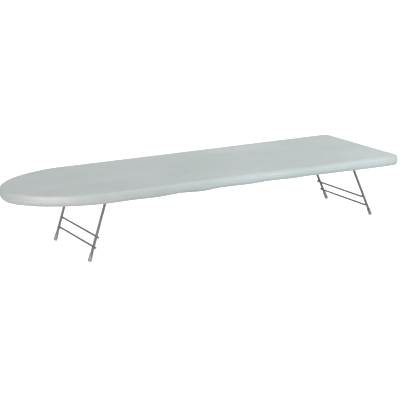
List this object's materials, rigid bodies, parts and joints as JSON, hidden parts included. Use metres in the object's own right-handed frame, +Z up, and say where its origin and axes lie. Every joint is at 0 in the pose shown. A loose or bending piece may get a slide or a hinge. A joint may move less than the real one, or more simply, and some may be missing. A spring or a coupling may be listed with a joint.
{
  "type": "tabletop ironing board",
  "caption": "Low tabletop ironing board: padded cloth-covered top with a round nose and a square end, on two folding wire leg frames with vinyl feet.",
  "frame": {"origin": "on the standing surface, below the middle of the board's length and width", "axes": "+X along the board towards the square end (the round nose points to -X), +Y across the board, +Z up from the feet to the ironing surface"},
  "size_m": [0.956, 0.29, 0.157],
  "materials": {
    "cover_cloth": "silver-grey metallised cotton, smooth, low sheen",
    "pad_felt": "needled polyester felt",
    "hem_elastic": "woven elastic tape",
    "frame_steel": "silver-grey powder coat",
    "leg_steel": "mid-grey satin coat on drawn wire",
    "zinc_steel": "bright zinc plate",
    "spring_steel": "blued spring steel, satin",
    "cap_vinyl": "glossy translucent grey vinyl"
  },
  "bodies": {
    "board": {"cover": "cover_cloth", "pad": "pad_felt", "hem_elastic": "hem_elastic", "mesh_panel": "frame_steel", "rim_frame": "frame_steel", "nose_hinge_channel": "frame_steel", "nose_saddle_left": "zinc_steel", "nose_saddle_left_rivet_1": "zinc_steel", "nose_saddle_left_rivet_2": "zinc_steel", "nose_saddle_right": "zinc_steel", "nose_saddle_right_rivet_1": "zinc_steel", "nose_saddle_right_rivet_2": "zinc_steel", "nose_cross_rail": "frame_steel", "nose_storage_clip": "spring_steel", "nose_clip_rivet_1": "zinc_steel", "nose_clip_rivet_2": "zinc_steel", "tail_hinge_channel": "frame_steel", "tail_saddle_left": "zinc_steel", "tail_saddle_left_rivet_1": "zinc_steel", "tail_saddle_left_rivet_2": "zinc_steel", "tail_saddle_right": "zinc_steel", "tail_saddle_right_rivet_1": "zinc_steel", "tail_saddle_right_rivet_2": "zinc_steel", "tail_cross_rail": "frame_steel", "tail_storage_clip": "spring_steel", "tail_clip_rivet_1": "zinc_steel", "tail_clip_rivet_2": "zinc_steel"},
    "nose_leg": {"nose_leg_frame": "leg_steel", "nose_upper_crossbar": "leg_steel", "nose_lower_crossbar": "leg_steel", "nose_foot_cap_left": "cap_vinyl", "nose_foot_cap_right": "cap_vinyl"},
    "tail_leg": {"tail_leg_frame": "leg_steel", "tail_upper_crossbar": "leg_steel", "tail_lower_crossbar": "leg_steel", "tail_foot_cap_left": "cap_vinyl", "tail_foot_cap_right": "cap_vinyl"}
  },
  "joints": [
    {"name": "nose_leg_fold", "type": "hinge", "parent": "board", "child": "nose_leg", "pos_m": [-0.2781, 0, 0.1405], "axis": [0, -1, 0], "range_deg": [0, 107.4]},
    {"name": "tail_leg_fold", "type": "hinge", "parent": "board", "child": "tail_leg", "pos_m": [0.3729, 0, 0.1405], "axis": [0, 1, 0], "range_deg": [0, 116.4]}
  ]
}
